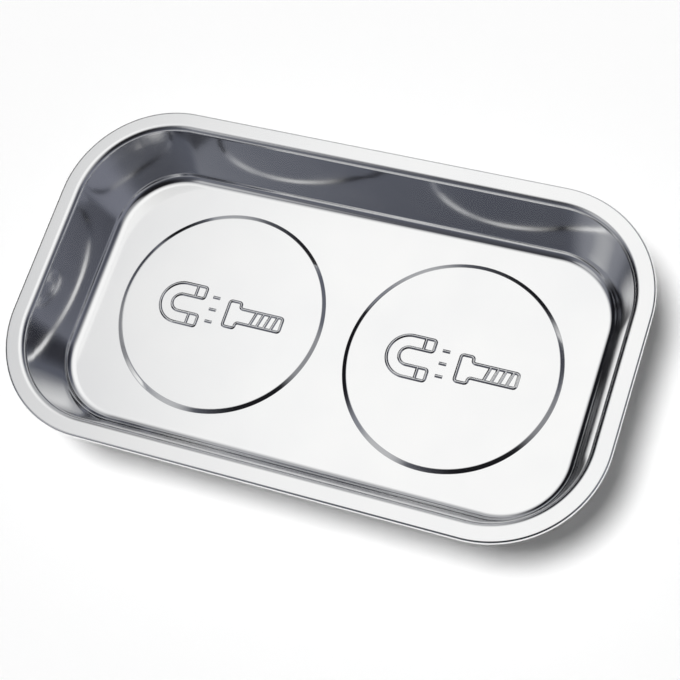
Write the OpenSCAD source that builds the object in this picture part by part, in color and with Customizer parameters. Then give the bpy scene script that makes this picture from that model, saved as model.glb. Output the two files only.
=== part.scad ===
// Magnetic parts tray: a pressed steel pan that stands on two round magnet feet.
// Lengths are in millimetres and angles in degrees. The origin lies on the standing
// surface under the middle of the tray, with X along the tray, Y across it and Z up.

/* [Pan] */
// Length over the rim
pan_length = 240; // [225:1:300]
// Width over the rim
pan_width = 140; // [130:1:180]
// Depth from the top of the rim to the floor
pan_depth = 27; // [20:0.5:36]
// Corner radius of the rim, seen from above
corner_r = 43.5; // [36:0.5:52]
// Thickness of the steel sheet
sheet_t = 0.8; // [0.5:0.1:1.2]
// Lean of the wall from upright
wall_draft = 17.5; // [10:0.5:22]
// Inside radius of the bend from floor to wall
floor_bend_r = 4.5; // [3:0.5:9]
// Inside radius of the bend from wall to rim
rim_bend_r = 2; // [0.8:0.1:3]
// Width of the rim, from the end of its bend to the outer edge
rim_w = 5.5; // [4.5:0.1:8]
// Inside radius of the rolled edge
curl_r = 0.2; // [0.2:0.1:1.8]
// Turn of the rolled edge, from level to its hidden end
curl_turn = 210; // [180:5:240]

/* [Raised discs] */
// Distance between the middles of the two discs, and of the two feet under them
disc_spacing = 96.5; // [93:0.5:102]
// Height of the discs above the floor
disc_rise = 0.8; // [0.6:0.1:1.6]
// Steepness of the step round each disc
disc_ramp = 26; // [20:1:48]
// Inside radius of both bends of the step
disc_bend_r = 0.6; // [0.4:0.1:0.9]
// Flat floor kept round the foot of the step
disc_skirt = 0.5; // [0.3:0.1:2]

/* [Ring magnets] */
// Outside diameter of the magnet
magnet_d = 75; // [68:0.5:80]
// Bore of the magnet
magnet_bore = 32; // [30:0.5:40]
// Thickness of the magnet
magnet_t = 10; // [9:0.5:14]

/* [Pole plates] */
// Thickness of the plate under the magnet
plate_t = 1.5; // [1:0.1:2]
// How far the plate stands out past the magnet, into the groove of the boot
plate_lip = 1.4; // [0.8:0.1:1.6]
// Height of the dish that centres the magnet and hides the screw head
dish_depth = 4; // [3.6:0.1:5]
// Steepness of the side of the dish
dish_ramp = 70; // [55:1:75]
// Inside radius of both bends of the dish
dish_bend_r = 1; // [0.6:0.1:1.2]
// Gap between the foot of the dish and the bore of the magnet
dish_gap = 0.5; // [0.3:0.1:1]

/* [Rubber boots] */
// Thickness of the boot under the plate
boot_floor = 2; // [1.5:0.1:3]
// Thickness of the boot round the magnet
boot_wall = 2.5; // [2:0.1:4]
// Radius of the lower outside edge
boot_edge_r = 1.4; // [0.5:0.1:1.9]
// Radius of the lower edge of the hole
boot_hole_edge_r = 0.6; // [0.3:0.1:1]
// Gap between the boot and what it holds
boot_fit = 0.1; // [0.05:0.05:0.3]
// Gap between the boot and the step of the disc above it
boot_seat_gap = 0.5; // [0.3:0.1:1.5]

/* [Screws] */
// Thread diameter of the screw
screw_d = 5; // [4:0.5:6]
// Diameter of the screw head
head_d = 9.5; // [8:0.1:12]
// Height of the screw head
head_h = 3; // [2:0.1:3.4]
// Radius of the edge of the screw head
head_edge_r = 1.4; // [0.6:0.1:1.8]
// Length of each arm pair of the cross recess
recess_length = 5; // [3:0.1:6]
// Width of the arms of the cross recess
recess_w = 1.1; // [0.6:0.1:1.6]
// Depth of the cross recess
recess_depth = 1.7; // [1:0.1:1.9]
// Outside diameter of the washer
washer_d = 11; // [10:0.5:14]
// Thickness of the washer
washer_t = 1; // [0.6:0.1:1.4]
// Gap between the screw and the holes of the washer and the plate
screw_gap = 0.25; // [0.1:0.05:0.5]
// Width of the weld nut across its flats
nut_flats = 10; // [8:0.5:13]
// Gap between the screw and the threaded bore of the nut
thread_gap = 0.05; // [0.02:0.01:0.1]
// Gap between the weld nut and the dish, so that the screw clamps the magnet
nut_gap = 0.3; // [0.1:0.1:0.6]
// Gap between the tip of the screw and the pan
tip_gap = 0.5; // [0.3:0.1:1.5]

/* [Hidden] */
$fn = 96;
// Largest turn between two neighbouring points of a rounded outline
arc_step = 9;
// How far a cutting shape runs past what it cuts
past = 1;

// Heights, from the standing surface up
plate_z = boot_floor;
magnet_z = plate_z + plate_t;
seat_z = magnet_z + magnet_t;
dish_under_z = plate_z + dish_depth;
dish_top_z = magnet_z + dish_depth;
disc_middle_z = seat_z + sheet_t / 2;
floor_middle_z = disc_middle_z - disc_rise;
head_top_z = dish_under_z - washer_t;
head_bottom_z = head_top_z - head_h;
head_middle_z = head_top_z - head_h / 2;

// Pan seen from above: the middles of its corner arcs
corner_x = pan_length / 2 - corner_r;
corner_y = pan_width / 2 - corner_r;

// Wall, from floor to rim, along the middle of the sheet
wall_angle = 90 - wall_draft;
floor_arc_r = floor_bend_r + sheet_t / 2;
rim_arc_r = rim_bend_r + sheet_t / 2;
curl_arc_r = curl_r + sheet_t / 2;
wall_length = (pan_depth - (floor_arc_r + rim_arc_r) * (1 - cos(wall_angle))) / sin(wall_angle);
wall_run = (floor_arc_r + rim_arc_r) * sin(wall_angle) + wall_length * cos(wall_angle);
floor_run = corner_r - rim_w - wall_run;

// Foot under each disc, from the magnet outwards
magnet_r = magnet_d / 2;
plate_r = magnet_r + plate_lip;
boot_r = magnet_r + boot_fit + boot_wall;
disc_top_r = boot_r + boot_seat_gap;

// Step round each disc
disc_arc_r = disc_bend_r + sheet_t / 2;
disc_ramp_length = (disc_rise - 2 * disc_arc_r * (1 - cos(disc_ramp))) / sin(disc_ramp);
disc_ramp_run = 2 * disc_arc_r * sin(disc_ramp) + disc_ramp_length * cos(disc_ramp);
disc_foot_r = disc_top_r + disc_ramp_run;
// Hole in the floor under each disc: the skirt laps over its edge, so that both are one sheet
disc_hole_r = disc_foot_r + disc_skirt / 2;

// Dish in the middle of each pole plate
dish_arc_r = dish_bend_r + plate_t / 2;
dish_ramp_length = (dish_depth - 2 * dish_arc_r * (1 - cos(dish_ramp))) / sin(dish_ramp);
dish_ramp_run = 2 * dish_arc_r * sin(dish_ramp) + dish_ramp_length * cos(dish_ramp);
dish_foot_r = magnet_bore / 2 - dish_gap;
dish_flat_r = dish_foot_r - dish_ramp_run;

screw_hole_r = screw_d / 2 + screw_gap;
nut_bore_r = screw_d / 2 + thread_gap;

steel_colour = "gainsboro";
rubber_colour = "dimgray";
magnet_colour = "slategray";
zinc_colour = "silver";

left = -1;
right = 1;

// Points on an arc, from one direction to another
function arc(middle, r, from, to) =
    let (sides = ceil(abs(to - from) / arc_step))
    [for (i = [0 : sides]) let (a = from + (to - from) * i / sides) middle + r * [cos(a), sin(a)]];

// A bent sheet is a list of steps along its middle line: ["run", length] or ["bend", left turn, radius].
// A place on that line is [x, y, heading].
function after_run(place, length) =
    [place.x + length * cos(place.z), place.y + length * sin(place.z), place.z];

function after_bend(place, turn, r) =
    let (hand = sign(turn) * r, heading = place.z + turn)
    [
        place.x + hand * (sin(heading) - sin(place.z)),
        place.y - hand * (cos(heading) - cos(place.z)),
        heading
    ];

function step_places(place, step) =
    step[0] == "run" ? [after_run(place, step[1])]
    : let (sides = ceil(abs(step[1]) / arc_step))
      [for (i = [1 : sides]) after_bend(place, step[1] * i / sides, step[2])];

function line_places(place, steps, i = 0) =
    i == len(steps) ? [place]
    : let (places = step_places(place, steps[i]), last = len(places) - 1)
      concat([place], [for (k = [0 : 1 : last - 1]) places[k]], line_places(places[last], steps, i + 1));

// Outline of a sheet of the given thickness along its middle line
function sheet_outline(places, thickness) =
    let (count = len(places), side = thickness / 2)
    concat(
        [for (p = places) [p.x - side * sin(p.z), p.y + side * cos(p.z)]],
        [for (k = [count - 1 : -1 : 0]) let (p = places[k]) [p.x + side * sin(p.z), p.y - side * cos(p.z)]]
    );

// Section of the pan from the middle of a corner arc outwards: floor, wall, rim and rolled edge
module pan_section() {
    polygon(sheet_outline(line_places([0, floor_middle_z, 0], [
        ["run", floor_run],
        ["bend", wall_angle, floor_arc_r],
        ["run", wall_length],
        ["bend", -wall_angle, rim_arc_r],
        ["run", rim_w - curl_r - sheet_t],
        ["bend", -curl_turn, curl_arc_r]
    ]), sheet_t));
}

// The section carried round the four corners and along the four sides
module pan_border() {
    corners = [[corner_x, corner_y], [-corner_x, corner_y], [-corner_x, -corner_y], [corner_x, -corner_y]];
    for (i = [0 : 3])
        translate(corners[i]) rotate(90 * i) rotate_extrude(angle = 90) pan_section();
    for (turn = [0, 180]) rotate(turn) {
        translate([-corner_x, corner_y, 0]) rotate([90, 0, 90]) linear_extrude(2 * corner_x) pan_section();
        translate([corner_x, corner_y, 0]) rotate([90, 0, 0]) linear_extrude(2 * corner_y) pan_section();
    }
}

// Places its children at the middle of one foot
module at_foot(side) {
    translate([side * disc_spacing / 2, 0, 0]) children();
}

// A raised disc with the step round it
module raised_disc() {
    rotate_extrude() polygon(sheet_outline(line_places([0, disc_middle_z, 0], [
        ["run", disc_top_r],
        ["bend", -disc_ramp, disc_arc_r],
        ["run", disc_ramp_length],
        ["bend", disc_ramp, disc_arc_r],
        ["run", disc_skirt]
    ]), sheet_t));
}

module tray_pan() color(steel_colour) {
    difference() {
        union() {
            pan_border();
            translate([0, 0, floor_middle_z]) cube([2 * corner_x, 2 * corner_y, sheet_t], center = true);
        }
        for (side = [left, right])
            at_foot(side) translate([0, 0, floor_middle_z - past]) cylinder(h = 2 * past, r = disc_hole_r);
    }
    for (side = [left, right]) at_foot(side) raised_disc();
}

// Welded under the disc: what the screw is driven into
module weld_nut(side) color(zinc_colour) at_foot(side) {
    nut_z = dish_top_z + nut_gap;
    translate([0, 0, nut_z]) difference() {
        cylinder(h = seat_z - nut_z, d = nut_flats / cos(30), $fn = 6);
        translate([0, 0, -past]) cylinder(h = seat_z - nut_z + 2 * past, r = nut_bore_r);
    }
}

module ring_magnet(side) color(magnet_colour) at_foot(side) {
    translate([0, 0, magnet_z]) difference() {
        cylinder(h = magnet_t, d = magnet_d);
        translate([0, 0, -past]) cylinder(h = magnet_t + 2 * past, d = magnet_bore);
    }
}

// Steel plate under the magnet, dished up into its bore
module pole_plate(side) color(zinc_colour) at_foot(side) {
    rotate_extrude() polygon(sheet_outline(line_places([screw_hole_r, dish_under_z + plate_t / 2, 0], [
        ["run", dish_flat_r - screw_hole_r],
        ["bend", -dish_ramp, dish_arc_r],
        ["run", dish_ramp_length],
        ["bend", dish_ramp, dish_arc_r],
        ["run", plate_r - dish_foot_r]
    ]), plate_t));
}

// Cup of rubber that is stretched over the plate, with a groove for the edge of the plate
module rubber_boot(side) color(rubber_colour) at_foot(side) {
    groove_r = plate_r + boot_fit;
    bore_r = magnet_r + boot_fit;
    hole_r = dish_foot_r;
    rotate_extrude() polygon(concat(
        arc([hole_r + boot_hole_edge_r, boot_hole_edge_r], boot_hole_edge_r, 180, 270),
        arc([boot_r - boot_edge_r, boot_edge_r], boot_edge_r, 270, 360),
        [
            [boot_r, seat_z],
            [bore_r, seat_z],
            [bore_r, magnet_z],
            [groove_r, magnet_z],
            [groove_r, plate_z],
            [hole_r, plate_z]
        ]
    ));
}

module washer(side) color(zinc_colour) at_foot(side) {
    translate([0, 0, head_top_z]) difference() {
        cylinder(h = washer_t, d = washer_d);
        translate([0, 0, -past]) cylinder(h = washer_t + 2 * past, r = screw_hole_r);
    }
}

// Pan head screw with a cross recess, driven up from below
module screw(side) color(zinc_colour) at_foot(side) {
    difference() {
        union() {
            rotate_extrude() polygon(concat(
                [[0, head_bottom_z]],
                arc([head_d / 2 - head_edge_r, head_bottom_z + head_edge_r], head_edge_r, 270, 360),
                [[head_d / 2, head_top_z], [0, head_top_z]]
            ));
            translate([0, 0, head_middle_z]) cylinder(h = seat_z - tip_gap - head_middle_z, d = screw_d);
        }
        for (turn = [0, 90]) rotate(turn) translate([0, 0, head_bottom_z])
            cube([recess_length, recess_w, 2 * recess_depth], center = true);
    }
}

tray_pan();
weld_nut(left);  // left_weld_nut
ring_magnet(left);  // left_ring_magnet
pole_plate(left);  // left_pole_plate
rubber_boot(left);  // left_rubber_boot
washer(left);  // left_washer
screw(left);  // left_screw
weld_nut(right);  // right_weld_nut
ring_magnet(right);  // right_ring_magnet
pole_plate(right);  // right_pole_plate
rubber_boot(right);  // right_rubber_boot
washer(right);  // right_washer
screw(right);  // right_screw
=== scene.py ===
import math

import bpy
import numpy as np
from mathutils import Matrix, Vector


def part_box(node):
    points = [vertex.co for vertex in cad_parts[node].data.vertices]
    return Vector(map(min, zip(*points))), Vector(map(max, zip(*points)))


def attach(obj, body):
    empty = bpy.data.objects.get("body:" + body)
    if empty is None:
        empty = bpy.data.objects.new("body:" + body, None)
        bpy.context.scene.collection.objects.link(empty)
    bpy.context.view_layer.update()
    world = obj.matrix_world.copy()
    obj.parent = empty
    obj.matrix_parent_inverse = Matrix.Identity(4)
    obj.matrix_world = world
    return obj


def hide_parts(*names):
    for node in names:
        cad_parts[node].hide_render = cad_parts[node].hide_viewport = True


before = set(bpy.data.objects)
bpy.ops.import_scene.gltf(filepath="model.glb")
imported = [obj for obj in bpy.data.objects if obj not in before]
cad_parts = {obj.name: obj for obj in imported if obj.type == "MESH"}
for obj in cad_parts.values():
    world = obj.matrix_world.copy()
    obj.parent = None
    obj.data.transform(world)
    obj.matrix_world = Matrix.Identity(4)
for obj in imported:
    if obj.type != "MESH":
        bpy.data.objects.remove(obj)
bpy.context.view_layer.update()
mm = 0.001
weldStep = 1e-8                # in metres: points that round to the same step are one point
sharpEdge = math.radians(38)   # edges that turn by more are shaded as edges
print("frame: nodes", len(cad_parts))


# meshes from whole arrays

# A bent sheet's middle line: straight runs and round bends one after another.
# Each place is (out, up, heading); a bend of radius r turns about the point r to its left or right.
def middleLine(start, steps):
    place = np.array(start, float)
    rows = [place[None]]
    for kind, amount, radius, count in steps:
        share = np.linspace(0, 1, count + 1)[1:]
        out, up, heading = place
        if kind == "run":
            far = share * amount
            rows.append(np.column_stack([
                out + far * math.cos(heading),
                up + far * math.sin(heading),
                0 * far + heading,
            ]))
        else:
            turned = heading + share * amount
            hand = math.copysign(radius, amount)
            rows.append(np.column_stack([
                out + hand * (np.sin(turned) - math.sin(heading)),
                up - hand * (np.cos(turned) - math.cos(heading)),
                turned,
            ]))
        place = rows[-1][-1]
    return np.concatenate(rows)


# One face of that sheet: each place moved along the normal on its left, or on its right if the
# offset is negative.
def sheetFace(places, offset):
    return np.column_stack([
        places[:, 0] - offset * np.sin(places[:, 2]),
        places[:, 1] + offset * np.cos(places[:, 2]),
    ])


# Quads between neighbouring rows and columns of a grid of points.
# A closed grid joins its last row to its first.
def gridQuads(rows, columns, closed):
    here = np.arange(rows if closed else rows - 1)[:, None]
    there = (here + 1) % rows
    column = np.arange(columns - 1)[None]
    return np.stack([
        here * columns + column,
        there * columns + column,
        there * columns + column + 1,
        here * columns + column + 1,
    ], axis=-1).reshape(-1, 4)


# Grids of points in one mesh: equal points are welded, and a quad with two equal corners becomes a triangle.
def meshFromGrids(name, grids):
    points, quads, count = [], [], 0
    for grid, closed, flipped in grids:
        rows, columns = grid.shape[:2]
        faces = gridQuads(rows, columns, closed) + count
        points.append(grid.reshape(-1, 3))
        quads.append(faces[:, ::-1] if flipped else faces)
        count += rows * columns
    points, quads = np.concatenate(points), np.concatenate(quads)
    steps = np.round(points / weldStep)
    places, first, index = np.unique(steps, axis=0, return_index=True, return_inverse=True)
    quads = index.reshape(-1)[quads]
    same = quads == np.roll(quads, -1, axis=1)  # a corner equal to the next one
    pairs = same.sum(axis=1)
    triangles = quads[pairs == 1][~same[pairs == 1]].reshape(-1, 3)
    mesh = bpy.data.meshes.new(name)
    mesh.from_pydata(points[first].tolist(), [], quads[pairs == 0].tolist() + triangles.tolist())
    mesh.shade_smooth()
    mesh.set_sharp_from_angle(angle=sharpEdge)
    piece = bpy.data.objects.new(name, mesh)
    bpy.context.scene.collection.objects.link(piece)
    return piece


# A profile of (radius, height) turned once round the upright through (x, y).
def turned(profile, x, y, sides):
    angle = np.linspace(0, 2 * math.pi, sides, endpoint=False)[:, None]
    return np.stack([
        x + profile[None, :, 0] * np.cos(angle),
        y + profile[None, :, 0] * np.sin(angle),
        0 * angle + profile[None, :, 1],
    ], axis=-1)


# tray pan: floor with two raised discs, leaning wall, flat rim and rolled edge
trayPan = dict(
    sheet=0.8 * mm,
    depth=27 * mm,
    cornerRadius=43.5 * mm,
    wallDraft=math.radians(17.5),
    floorBend=4.5 * mm,
    rimBend=2 * mm,
    rimWidth=5.5 * mm,
    rollRadius=1 * mm,
    rollTurn=math.radians(210),
    discRise=0.8 * mm,
    discRamp=math.radians(26),
    discBend=0.6 * mm,
    discGap=0.5 * mm,         # from the boot to the step round the disc
    support=0.35 * mm,        # narrow flats beside each bend, which keep the reflections true
    cornerSteps=44,
    sideSteps=24,
    endSteps=18,
    middleSteps=44,
    bendSteps=(14, 9),        # in each bend of wall and rim, on top and underneath
    discSteps=(8, 5),         # in each bend round a disc, on top and underneath
    floorRings=(0.3, 0.65),   # between a disc and the foot of the wall, as shares of the way
)


# Half of the pan's inner rectangle as a path with outward normals: from the middle of the back, round the
# right end, to the middle of the front. A profile point lies its own distance out along the normal.
def halfPath(cornerX, cornerY, look):
    near, quarter = look["support"], math.pi / 2
    alongX = np.append(np.linspace(0, cornerX - near, look["sideSteps"]), cornerX)
    endRun = np.linspace(cornerY - near, near - cornerY, look["endSteps"])
    alongY = np.concatenate([[cornerY], endRun, [-cornerY]])
    arc = np.linspace(quarter, 0, look["cornerSteps"] + 1)[1:-1]
    spine = np.concatenate([
        np.column_stack([alongX, 0 * alongX + cornerY]),
        np.column_stack([0 * arc + cornerX, 0 * arc + cornerY]),
        np.column_stack([0 * alongY + cornerX, alongY]),
        np.column_stack([0 * arc + cornerX, 0 * arc - cornerY]),
        np.column_stack([alongX[::-1], 0 * alongX - cornerY]),
    ])
    angle = np.concatenate([
        0 * alongX + quarter,
        arc,
        0 * alongY,
        arc - quarter,
        0 * alongX - quarter,
    ])
    return spine, np.column_stack([np.cos(angle), np.sin(angle)])


# The pan's right half is a border carried along that path and a floor of rays from the disc's middle.
# The left half is the same with x turned to -x.
def makePan(look):
    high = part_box("tray_pan")[1]
    bootLow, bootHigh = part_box("right_rubber_boot")
    discX = (bootLow.x + bootHigh.x) / 2
    discTop = (bootHigh.x - bootLow.x) / 2 + look["discGap"]
    half, radius, near = look["sheet"] / 2, look["cornerRadius"], look["support"]
    cornerX, cornerY = high.x - radius, high.y - radius
    floorZ = high.z - half - look["depth"]

    # border: fillet, wall, rim bend, rim and rolled edge, measured out from the corner's middle
    lean = math.pi / 2 - look["wallDraft"]
    floorArc, rimArc = look["floorBend"] + half, look["rimBend"] + half
    wall = (look["depth"] - (floorArc + rimArc) * (1 - math.cos(lean))) / math.sin(lean)
    wallRun = (floorArc + rimArc) * math.sin(lean) + wall * math.cos(lean)
    floorRun = radius - look["rimWidth"] - wallRun
    flat = look["rimWidth"] - look["rollRadius"]

    def border(bends):
        return middleLine((floorRun, floorZ, 0), [
            ("bend", lean, floorArc, bends),
            ("run", near, 0, 1), ("run", wall - 2 * near, 0, bends // 2), ("run", near, 0, 1),
            ("bend", -lean, rimArc, bends),
            ("run", near, 0, 1), ("run", flat - 2 * near, 0, 2), ("run", near, 0, 1),
            ("bend", -look["rollTurn"], look["rollRadius"] - half, 2 * bends),
        ])

    # disc: plateau and the step down to the floor, measured out from the disc's middle
    stepArc, ramp = look["discBend"] + half, look["discRamp"]
    slope = (look["discRise"] - 2 * stepArc * (1 - math.cos(ramp))) / math.sin(ramp)

    def disc(bends):
        return middleLine((0, floorZ + look["discRise"], 0), [
            ("run", discTop - near, 0, bends), ("run", near, 0, 1),
            ("bend", -ramp, stepArc, bends),
            ("run", slope, 0, 1),
            ("bend", ramp, stepArc, bends),
            ("run", near, 0, 1),
        ])

    spine, normal = halfPath(cornerX, cornerY, look)
    edge = spine + floorRun * normal
    middle = np.linspace(edge[-1, 1], edge[0, 1], look["middleSteps"] + 1)[1:-1]
    outline = np.concatenate([edge, np.column_stack([0 * middle, middle])])
    ray = outline - [discX, 0]
    reach = np.linalg.norm(ray, axis=1)

    # disc and floor: rays from the disc's middle over its step, then level to the foot of the wall
    # or to the middle of the tray
    def discGrid(side, bends):
        face = sheetFace(disc(bends), side * half)
        foot, level = face[-1]
        far = foot + (reach[:, None] - foot) * np.array([*look["floorRings"], 1])
        beforeWall = (reach - near)[:, None]
        onDisc = np.broadcast_to(face[:, 0], (len(ray), len(face)))
        out = np.concatenate([onDisc, far[:, :-1], beforeWall, far[:, -1:]], axis=1)
        up = np.append(face[:, 1], np.full(out.shape[1] - len(face), level))
        flatXY = [discX, 0] + out[:, :, None] * (ray / reach[:, None])[:, None]
        return np.concatenate([flatXY, np.broadcast_to(up, out.shape)[..., None]], axis=-1)

    bendsTop, bendsUnder = look["bendSteps"]
    face = np.concatenate([sheetFace(border(bendsTop), half), sheetFace(border(bendsUnder), -half)[::-1]])
    flatXY = spine[:, None] + face[None, :, :1] * normal[:, None]
    up = np.broadcast_to(face[:, 1], flatXY.shape[:2])
    borderGrid = np.concatenate([flatXY, up[..., None]], axis=-1)
    borderGrid[[0, -1], :, 0] = 0
    discsTop, discsUnder = look["discSteps"]
    rightHalf = [
        (discGrid(1, discsTop), True, False),
        (borderGrid, False, False),
        (discGrid(-1, discsUnder)[:, ::-1], True, False),
    ]
    leftHalf = [(grid * [-1, 1, 1], closed, True) for grid, closed, flipped in rightHalf]
    return meshFromGrids("trayPan", rightHalf + leftHalf)


pan = makePan(trayPan)
print("tray pan: faces", len(pan.data.polygons))


# rubber boots: a cup under each disc, open in the middle, with a groove for the edge of the pole plate
rubberBoot = dict(
    wall=2.5 * mm,
    floor=2 * mm,
    plate=1.5 * mm,
    grooveDepth=1.4 * mm,
    hole=15.5 * mm,
    lowerEdge=1.4 * mm,
    holeEdge=0.6 * mm,
    upperEdge=0.4 * mm,
    lowerSteps=12,
    edgeSteps=8,
    sides=192,
)


# Points on an arc: its middle, its radius and the directions where it starts and ends, in degrees.
def arcPoints(out, up, radius, start, end, count):
    angle = np.radians(np.linspace(start, end, count + 1))
    return np.column_stack([out + radius * np.cos(angle), up + radius * np.sin(angle)])


# A boot is its section turned once: down the bore and the groove, round the hole, and up the outside.
def makeBoot(name, node, look):
    low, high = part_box(node)
    outside, top = (high.x - low.x) / 2, high.z
    bore = outside - look["wall"]
    groove = bore + look["grooveDepth"]
    hole, floor = look["hole"], look["floor"]
    shelf = floor + look["plate"]
    lower, holeEdge, upper = look["lowerEdge"], look["holeEdge"], look["upperEdge"]
    inside = np.array([(bore, top), (bore, shelf), (groove, shelf), (groove, floor), (hole, floor)])
    profile = np.concatenate([
        inside,
        arcPoints(hole + holeEdge, holeEdge, holeEdge, 180, 270, look["edgeSteps"]),
        arcPoints(outside - lower, lower, lower, 270, 360, look["lowerSteps"]),
        arcPoints(outside - upper, top - upper, upper, 0, 90, look["edgeSteps"]),
        inside[:1],
    ])
    grid = turned(profile, (low.x + high.x) / 2, (low.y + high.y) / 2, look["sides"])
    return meshFromGrids(name, [(grid, True, False)])


boots = {
    "left_rubber_boot": makeBoot("leftBoot", "left_rubber_boot", rubberBoot),
    "right_rubber_boot": makeBoot("rightBoot", "right_rubber_boot", rubberBoot),
}
print("rubber boots:", len(boots))


# signs pressed up in the discs: a magnet that pulls a bolt, drawn in rounded ridges
discSign = dict(
    ridgeHalf=0.7 * mm,
    ridgeHeight=0.42 * mm,
    ridgePoints=11,
    sunk=0.15 * mm,
    length=52 * mm,
    corner=1.1 * mm,
    cornerSteps=7,
    magnet=(8.5 * mm, 3.6 * mm),   # outer and inner radius of its bow
    bowSteps=(36, 24),
    magnetLeg=9 * mm,
    poleLine=4 * mm,               # from the tip of a leg to the line across it
    pullLength=3 * mm,
    pullPast=3.4 * mm,             # from the tips of the legs
    pullGap=5.2 * mm,
    boltHead=(5 * mm, 11 * mm),
    boltShank=(18.5 * mm, 6 * mm),
    threads=4,
    threadPitch=3 * mm,
    threadLean=1.4 * mm,
)


# A ridge along a line of (x, y, heading): across it, one wave of a cosine raised on a flat base.
# An open ridge ends in a point at either end.
def ridge(places, z, look, closed):
    across = np.linspace(-1, 1, look["ridgePoints"])
    lift = look["ridgeHeight"] * (1 + np.cos(math.pi * across)) / 2
    side = np.concatenate([across, [1, -1, -1]]) * look["ridgeHalf"]
    lift = np.concatenate([lift, [-look["sunk"], -look["sunk"], 0]])
    if closed:
        places = places[:-1]
    grid = np.stack([
        places[:, :1] + side * np.sin(places[:, 2:]),
        places[:, 1:2] - side * np.cos(places[:, 2:]),
        np.broadcast_to(z + lift, (len(places), len(lift))),
    ], axis=-1)
    if not closed:
        ends = np.column_stack([places[[0, -1], :2], [z, z]])[:, None]
        ends = np.broadcast_to(ends, (2, len(lift), 3))
        grid = np.concatenate([ends[:1], grid, ends[1:]])
    return grid, closed, True


# The magnet lies on its side: its bow to the left of x, its two legs to the right.
# A line crosses each leg, and three short ones stand before the tips.
def magnetLines(x, look):
    outer, inner = look["magnet"]
    outerSteps, innerSteps = look["bowSteps"]
    leg, corner, turn = look["magnetLeg"], look["corner"], math.pi / 2
    bend = ("bend", turn, corner, look["cornerSteps"])
    tip = [bend, ("run", outer - inner - 2 * corner, 0, 1), bend]
    side = ("run", leg - corner, 0, 1)
    outline = [side, *tip, side, ("bend", -math.pi, inner, innerSteps)]
    outline += [side, *tip, side, ("bend", math.pi, outer, outerSteps)]
    yield middleLine((x, -outer, 0), outline), True
    for start in (-outer, inner):
        line = [("run", outer - inner, 0, 1)]
        yield middleLine((x + leg - look["poleLine"], start, turn), line), False
    for row in (-1, 0, 1):
        line = [("run", look["pullLength"], 0, 1)]
        yield middleLine((x + leg + look["pullPast"], row * look["pullGap"], 0), line), False


# The bolt lies along x from the back of its head: one line round head and shank, and leaning ones
# across the shank for the thread.
def boltLines(back, look):
    headLength, headWidth = look["boltHead"]
    length, width = look["boltShank"]
    corner, turn, steps = look["corner"], math.pi / 2, look["cornerSteps"]
    left, right = ("bend", turn, corner, steps), ("bend", -turn, corner, steps)
    shank = ("run", length - 2 * corner, 0, 1)
    step = ("run", (headWidth - width) / 2 - 2 * corner, 0, 1)
    end = ("run", headLength - 2 * corner, 0, 1)
    outline = [shank, left, ("run", width - 2 * corner, 0, 1), left, shank, right, step, left, end, left]
    outline += [("run", headWidth - 2 * corner, 0, 1), left, end, left, step, right]
    yield middleLine((back + headLength + corner, -width / 2, 0), outline), True
    lean = math.atan2(width, look["threadLean"])
    first = back + headLength + length - 2 * corner - look["threadLean"]
    for index in range(look["threads"]):
        start = first - index * look["threadPitch"]
        yield middleLine((start, -width / 2, lean), [("run", width / math.sin(lean), 0, 1)]), False


def makeSign(name, node, look):
    low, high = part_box(node)
    middle = [(low.x + high.x) / 2, (low.y + high.y) / 2, 0]
    z = high.z + trayPan["sheet"]
    magnetX = look["magnet"][0] - look["length"] / 2
    boltX = look["length"] / 2 - look["boltHead"][0] - look["boltShank"][0]
    lines = [*magnetLines(magnetX, look), *boltLines(boltX, look)]
    return meshFromGrids(name, [ridge(places + middle, z, look, closed) for places, closed in lines])


signs = [
    makeSign("leftDiscSign", "left_rubber_boot", discSign),
    makeSign("rightDiscSign", "right_rubber_boot", discSign),
]
print("disc signs:", len(signs))


# camera: where the photograph was taken from
cameraView = dict(
    aim=(2.2 * mm, 0.4 * mm, 12.8 * mm),
    azimuth=math.radians(45.8),
    elevation=math.radians(64.5),
    distance=674 * mm,
    roll=math.radians(-29.6),
    lens=92.2,
    sensor=36,
    clip=(0.01, 100),
)


# Unit vector towards a place at that azimuth, from the front round to the right, and elevation.
def towards(azimuth, elevation):
    level = math.cos(elevation)
    return Vector((math.sin(azimuth) * level, -math.cos(azimuth) * level, math.sin(elevation)))


def makeCamera(look):
    data = bpy.data.cameras.new("viewCamera")
    data.lens = look["lens"]
    data.sensor_width = look["sensor"]
    data.clip_start, data.clip_end = look["clip"]
    eye = bpy.data.objects.new("viewCamera", data)
    bpy.context.scene.collection.objects.link(eye)
    back = towards(look["azimuth"], look["elevation"])
    turn = back.to_track_quat("Z", "Y").to_matrix().to_4x4() @ Matrix.Rotation(look["roll"], 4, "Z")
    eye.matrix_world = Matrix.Translation(Vector(look["aim"]) + back * look["distance"]) @ turn
    bpy.context.scene.camera = eye


makeCamera(cameraView)
print("camera set")


# materials

def startMaterial(name):
    material = bpy.data.materials.new(name)
    material.use_nodes = True
    tree = material.node_tree
    shader = tree.nodes["Principled BSDF"]
    place = tree.nodes.new("ShaderNodeTexCoord").outputs["Object"]
    return material, tree, shader, place


# Noise on Object coordinates: how many spots there are in a metre, along each axis or along all.
def addNoise(tree, place, spots, detail=2, roughness=0.5):
    mapping = tree.nodes.new("ShaderNodeMapping")
    mapping.inputs["Scale"].default_value = spots if isinstance(spots, tuple) else (spots,) * 3
    tree.links.new(place, mapping.inputs["Vector"])
    noise = tree.nodes.new("ShaderNodeTexNoise")
    noise.inputs["Scale"].default_value = 1
    noise.inputs["Detail"].default_value = detail
    noise.inputs["Roughness"].default_value = roughness
    tree.links.new(mapping.outputs["Vector"], noise.inputs["Vector"])
    return noise.outputs["Fac"]


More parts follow.
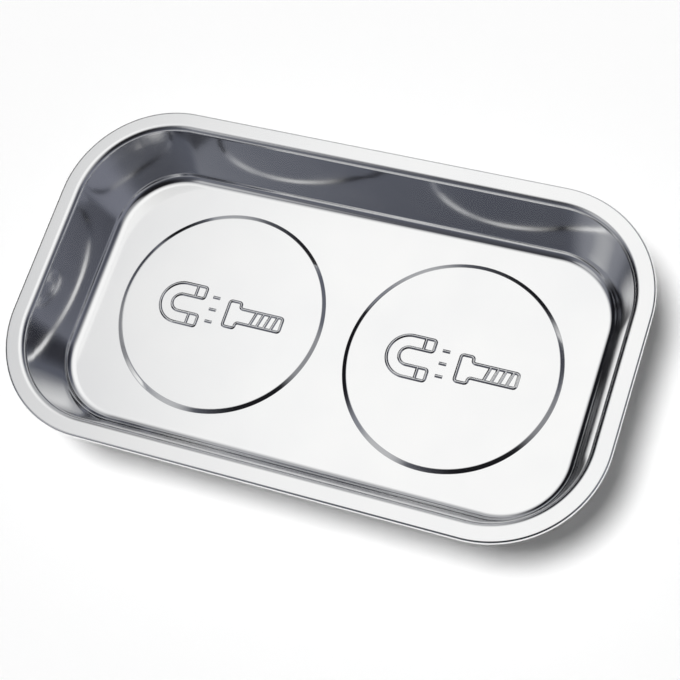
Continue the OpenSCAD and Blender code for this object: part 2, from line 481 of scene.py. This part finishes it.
# A value between two limits, spread over the wanted range; noise mostly lies between 0.3 and 0.7.
def spread(tree, value, low, high, fromLow=0.3, fromHigh=0.7):
    node = tree.nodes.new("ShaderNodeMapRange")
    node.inputs["From Min"].default_value = fromLow
    node.inputs["From Max"].default_value = fromHigh
    node.inputs["To Min"].default_value = low
    node.inputs["To Max"].default_value = high
    tree.links.new(value, node.inputs["Value"])
    return node.outputs["Result"]


def combine(tree, operation, first, second):
    node = tree.nodes.new("ShaderNodeMath")
    node.operation = operation
    for value, socket in ((first, node.inputs[0]), (second, node.inputs[1])):
        if isinstance(value, (int, float)):
            socket.default_value = value
        else:
            tree.links.new(value, socket)
    return node.outputs["Value"]


def mixColours(tree, share, first, second):
    node = tree.nodes.new("ShaderNodeMix")
    node.data_type = "RGBA"
    for value, socket in ((first, node.inputs["A"]), (second, node.inputs["B"])):
        if isinstance(value, tuple):
            socket.default_value = (*value, 1)
        else:
            tree.links.new(value, socket)
    tree.links.new(share, node.inputs["Factor"])
    return node.outputs["Result"]


# Base colour from one tone to another where the noise grows.
def addTones(tree, shader, noise, first, second):
    colour = mixColours(tree, spread(tree, noise, 0, 1), first, second)
    tree.links.new(colour, shader.inputs["Base Color"])


def addBump(tree, shader, height, distance, strength):
    node = tree.nodes.new("ShaderNodeBump")
    node.inputs["Distance"].default_value = distance
    node.inputs["Strength"].default_value = strength
    tree.links.new(height, node.inputs["Height"])
    tree.links.new(node.outputs["Normal"], shader.inputs["Normal"])


polishedSteel = dict(
    bright=(0.945, 0.945, 0.94),
    dull=(0.9, 0.903, 0.905),
    smudges=32,                   # noise is given in spots to the metre
    roughness=(0.07, 0.11),
    wallRoughness=0.02,           # added on the wall, where the drawing of the sheet has dulled it
    wallHeights=(14.5 * mm, 20 * mm),
    rimRoughness=0.07,            # added again on the rim
    rimHeights=(38.5 * mm, 40 * mm),
    grain=(60, 2400, 2400),
    grainRoughness=(-0.006, 0.006),
    waves=45,
    waveHeight=0.012 * mm,
    wallWaves=55,                 # deeper waves that the drawing of the sheet left in the wall
    wallWaveHeight=0.05 * mm,
    wallWavesStart=(17 * mm, 21 * mm),
    wallWavesEnd=(34 * mm, 38 * mm),
)


def makePolishedSteel(look):
    material, tree, shader, place = startMaterial("polishedSteel")
    shader.inputs["Metallic"].default_value = 1
    smudge = addNoise(tree, place, look["smudges"], detail=4)
    addTones(tree, shader, smudge, look["dull"], look["bright"])
    split = tree.nodes.new("ShaderNodeSeparateXYZ")
    tree.links.new(place, split.inputs["Vector"])
    height = split.outputs["Z"]

    grain = addNoise(tree, place, look["grain"])
    grain = spread(tree, grain, *look["grainRoughness"])
    wall = spread(tree, height, 0, look["wallRoughness"], *look["wallHeights"])
    rim = spread(tree, height, 0, look["rimRoughness"], *look["rimHeights"])
    rough = combine(tree, "ADD", spread(tree, smudge, *look["roughness"]), grain)
    rough = combine(tree, "ADD", rough, combine(tree, "ADD", wall, rim))
    tree.links.new(rough, shader.inputs["Roughness"])

    start = spread(tree, height, 0, 1, *look["wallWavesStart"])
    end = spread(tree, height, 1, 0, *look["wallWavesEnd"])
    drawn = addNoise(tree, place, look["wallWaves"], detail=1)
    drawn = combine(tree, "MULTIPLY", drawn, combine(tree, "MULTIPLY", start, end))
    drawn = combine(tree, "MULTIPLY", drawn, look["wallWaveHeight"])
    gentle = combine(tree, "MULTIPLY", addNoise(tree, place, look["waves"]), look["waveHeight"])
    addBump(tree, shader, combine(tree, "ADD", gentle, drawn), 1, 1)
    return material


blackRubber = dict(
    deep=(0.016, 0.016, 0.017),
    dusty=(0.036, 0.036, 0.036),
    dust=70,
    roughness=(0.62, 0.82),
    specular=0.35,
    grain=1600,
    grainHeight=0.03 * mm,
    grainStrength=0.8,
)


def makeBlackRubber(look):
    material, tree, shader, place = startMaterial("blackRubber")
    shader.inputs["Specular IOR Level"].default_value = look["specular"]
    dust = addNoise(tree, place, look["dust"], detail=5, roughness=0.6)
    grain = addNoise(tree, place, look["grain"], detail=3)
    addTones(tree, shader, dust, look["deep"], look["dusty"])
    tree.links.new(spread(tree, dust, *look["roughness"]), shader.inputs["Roughness"])
    addBump(tree, shader, grain, look["grainHeight"], look["grainStrength"])
    return material


zincPlate = dict(
    bright=(0.74, 0.755, 0.78),
    dull=(0.58, 0.6, 0.63),
    mottle=420,
    roughness=(0.42, 0.24),       # where it is dull and where it is bright
    grain=2800,
    grainHeight=0.004 * mm,
    grainStrength=0.7,
)


def makeZincPlate(look):
    material, tree, shader, place = startMaterial("zincPlate")
    shader.inputs["Metallic"].default_value = 1
    mottle = addNoise(tree, place, look["mottle"], detail=5, roughness=0.65)
    grain = addNoise(tree, place, look["grain"])
    addTones(tree, shader, mottle, look["dull"], look["bright"])
    tree.links.new(spread(tree, mottle, *look["roughness"]), shader.inputs["Roughness"])
    addBump(tree, shader, grain, look["grainHeight"], look["grainStrength"])
    return material


ferrite = dict(
    dark=(0.03, 0.03, 0.034),
    light=(0.062, 0.062, 0.066),
    clouds=160,
    roughness=(0.5, 0.72),
    grain=3200,
    grainHeight=0.02 * mm,
    grainStrength=0.6,
)


def makeFerrite(look):
    material, tree, shader, place = startMaterial("ferrite")
    cloud = addNoise(tree, place, look["clouds"], detail=6, roughness=0.7)
    grain = addNoise(tree, place, look["grain"], detail=3)
    addTones(tree, shader, cloud, look["dark"], look["light"])
    tree.links.new(spread(tree, grain, *look["roughness"]), shader.inputs["Roughness"])
    addBump(tree, shader, grain, look["grainHeight"], look["grainStrength"])
    return material


plainSteel = dict(
    bare=(0.46, 0.45, 0.44),
    heated=(0.27, 0.22, 0.19),    # round the weld
    heatSpots=230,
    roughness=(0.32, 0.55),
    grain=2200,
    grainHeight=0.006 * mm,
    grainStrength=0.7,
)


def makePlainSteel(look):
    material, tree, shader, place = startMaterial("plainSteel")
    shader.inputs["Metallic"].default_value = 1
    heat = addNoise(tree, place, look["heatSpots"], detail=4)
    grain = addNoise(tree, place, look["grain"])
    addTones(tree, shader, heat, look["bare"], look["heated"])
    tree.links.new(spread(tree, heat, *look["roughness"]), shader.inputs["Roughness"])
    addBump(tree, shader, grain, look["grainHeight"], look["grainStrength"])
    return material


steel = makePolishedSteel(polishedSteel)
rubber = makeBlackRubber(blackRubber)
zinc = makeZincPlate(zincPlate)
nodeFinishes = {
    "pole_plate": zinc,
    "washer": zinc,
    "screw": zinc,
    "ring_magnet": makeFerrite(ferrite),
    "weld_nut": makePlainSteel(plainSteel),
}
for piece in (pan, *signs):
    piece.data.materials.append(steel)
for piece in boots.values():
    piece.data.materials.append(rubber)
for side in ("left", "right"):
    for kind, finish in nodeFinishes.items():
        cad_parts[side + "_" + kind].material_slots[0].material = finish
print("materials made")


# studio: pale floor, soft light from above, and grey surroundings with a soft white window for the metal
studio = dict(
    sides=96,
    floorColour=(0.97, 0.97, 0.97),
    floorRings=(0, 0.5, 2, 9),
    ambient=0.1,
    sunAim=(-0.08, -0.11, 0.99),
    sunAngle=math.radians(20),
    sunStrength=2.84,
    domeRadius=2.5,
    domeFoot=math.radians(3),
    domeRings=48,
    domeTone=(0.105, 0.112, 0.14),
    # direction, cosines where a patch starts and is full, tone; each lies over those before it
    domePatches=(
        ((0, 0, -1), (-0.36, -0.25), (0.38, 0.384, 0.4)),            # pale band along the foot
        ((-0.28, 0.9, 0.34), (0.8, 0.97), (0.42, 0.425, 0.44)),      # lit wall behind the tray
        ((-0.68, -0.42, 0.6), (0.85, 0.965), (0.24, 0.248, 0.28)),   # fill at the left
        ((0.95, -0.05, 0.32), (0.86, 0.98), (0.19, 0.198, 0.24)),    # fill at the right
        ((0.68, 0.55, 0.48), (0.93, 0.995), (0.03, 0.031, 0.04)),    # dark corner at the back right
        ((-0.85, 0.42, 0.3), (0.8, 0.92), (0.01, 0.01, 0.013)),      # dark left side
        ((-0.93, 0.1, 0.2), (0.85, 0.95), (0.008, 0.008, 0.01)),     # foot of the left side
        ((0.25, -0.46, 0.85), (0.68, 0.9), (0.055, 0.057, 0.068)),   # dim side where the camera is
        ((0.32, -0.38, 0.87), (0.84, 0.95), (0.01, 0.01, 0.012)),    # dark round the camera
        ((-0.53, -0.38, 0.755), (0.965, 0.99), (0.5, 0.505, 0.52)),  # lamp at the front left
        ((0.46, 0.09, 0.885), (0.945, 0.985), (0.28, 0.283, 0.3)),   # soft light at the right
        ((-0.145, 0.315, 0.938), (0.8, 0.978), (1, 1, 1)),           # window
    ),
)


# A level disc: a ring of points round the origin for each radius.
def makeFloor(look):
    radius = np.array(look["floorRings"], float)
    profile = np.column_stack([radius, 0 * radius])
    floor = meshFromGrids("studioFloor", [(turned(profile, 0, 0, look["sides"]), True, True)])
    material, tree, shader, place = startMaterial("paleFloor")
    shader.inputs["Base Color"].default_value = (*look["floorColour"], 1)
    shader.inputs["Roughness"].default_value = 1
    shader.inputs["Specular IOR Level"].default_value = 0
    floor.data.materials.append(material)


# Cosine of the angle between a place on the dome and a direction.
def facing(tree, place, aim):
    unit = tree.nodes.new("ShaderNodeVectorMath")
    unit.operation = "NORMALIZE"
    tree.links.new(place, unit.inputs[0])
    dot = tree.nodes.new("ShaderNodeVectorMath")
    dot.operation = "DOT_PRODUCT"
    tree.links.new(unit.outputs["Vector"], dot.inputs[0])
    dot.inputs[1].default_value = Vector(aim).normalized()
    return dot.outputs["Value"]


# A dome that only the metal sees, a quarter circle turned once. It glows in soft-edged round patches
# on a dark grey ground.
def makeDome(look):
    rise = np.linspace(look["domeFoot"], math.pi / 2, look["domeRings"])
    profile = look["domeRadius"] * np.column_stack([np.cos(rise), np.sin(rise)])
    profile[-1, 0] = 0
    dome = meshFromGrids("studioDome", [(turned(profile, 0, 0, look["sides"]), True, True)])
    dome.visible_camera = False
    dome.visible_diffuse = False
    dome.visible_transmission = False
    dome.visible_shadow = False
    material = bpy.data.materials.new("studioDome")
    material.use_nodes = True
    tree = material.node_tree
    tree.nodes.clear()
    place = tree.nodes.new("ShaderNodeTexCoord").outputs["Object"]
    tone = look["domeTone"]
    for aim, edges, colour in look["domePatches"]:
        tone = mixColours(tree, spread(tree, facing(tree, place, aim), 0, 1, *edges), tone, colour)
    glow = tree.nodes.new("ShaderNodeEmission")
    tree.links.new(tone, glow.inputs["Color"])
    output = tree.nodes.new("ShaderNodeOutputMaterial")
    tree.links.new(glow.outputs["Emission"], output.inputs["Surface"])
    dome.data.materials.append(material)


def makeSun(look):
    data = bpy.data.lights.new("softSun", "SUN")
    data.angle = look["sunAngle"]
    data.energy = look["sunStrength"]
    sun = bpy.data.objects.new("softSun", data)
    bpy.context.scene.collection.objects.link(sun)
    sun.rotation_euler = Vector(look["sunAim"]).to_track_quat("Z", "Y").to_euler()
    sun.visible_glossy = False


# White for what the camera and the metal see, dimmer for what lights the floor.
def makeWorld(look):
    world = bpy.data.worlds.new("studioWorld")
    bpy.context.scene.world = world
    world.use_nodes = True
    tree = world.node_tree
    path = tree.nodes.new("ShaderNodeLightPath")
    seen = combine(tree, "MAXIMUM", path.outputs["Is Camera Ray"], path.outputs["Is Glossy Ray"])
    seen = combine(tree, "MAXIMUM", seen, path.outputs["Is Transmission Ray"])
    colour = mixColours(tree, seen, (look["ambient"],) * 3, (1, 1, 1))
    tree.links.new(colour, tree.nodes["Background"].inputs["Color"])


makeFloor(studio)
makeDome(studio)
makeSun(studio)
makeWorld(studio)
print("studio set")

for piece in (pan, *signs, *boots.values()):
    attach(piece, "root")
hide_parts("tray_pan")
for node, piece in boots.items():
    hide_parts(node)

bpy.context.scene.view_settings.view_transform = "Standard"
